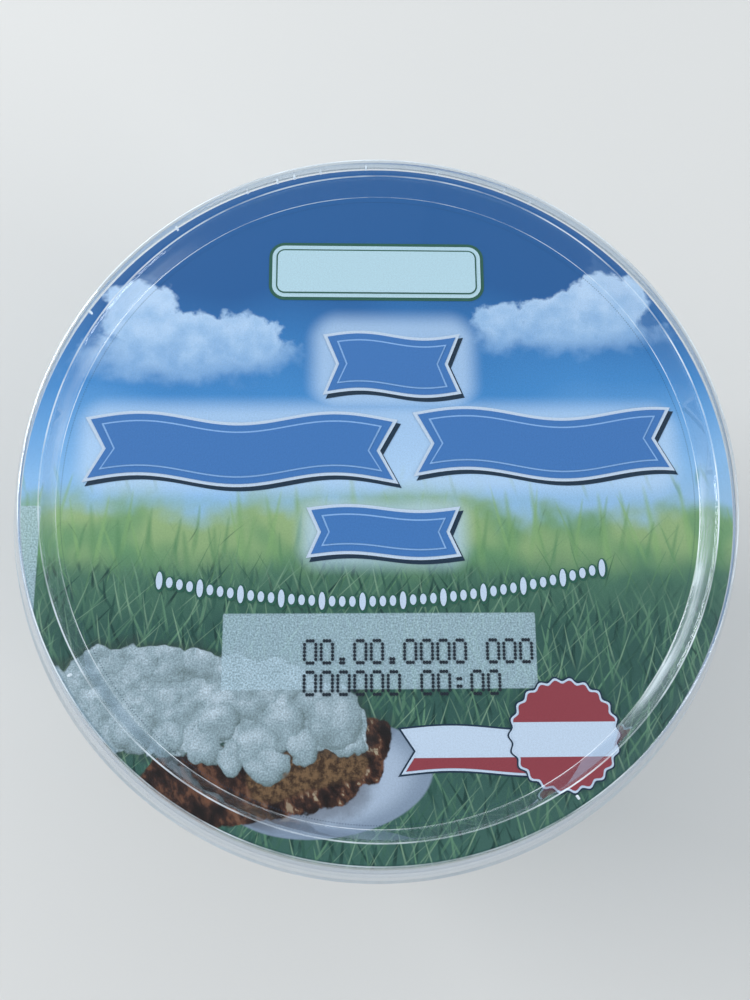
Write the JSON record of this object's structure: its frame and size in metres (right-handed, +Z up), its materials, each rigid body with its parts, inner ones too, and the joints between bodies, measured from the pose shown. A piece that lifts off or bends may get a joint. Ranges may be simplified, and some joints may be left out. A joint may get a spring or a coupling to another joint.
{
  "type": "sealed tub of cottage cheese",
  "caption": "Round shut tub of cottage cheese: tapered plastic cup, printed peel-off film seal and a clear press-on lid with a raised stacking ring.",
  "frame": {"origin": "centre of the plane that the foot ring stands on", "axes": "+Z up along the tub's axis; +Y towards the top of the print on the seal, +X to its right"},
  "size_m": [0.0992, 0.0993, 0.0554],
  "materials": {
    "cup": "printed white polypropylene, satin",
    "seal": "printed peel-off film in blue, green and white",
    "lid": "clear moulded plastic, glossy"
  },
  "bodies": {
    "root": {"tub": "cup", "film": "seal", "lid": "lid"}
  },
  "joints": []
}
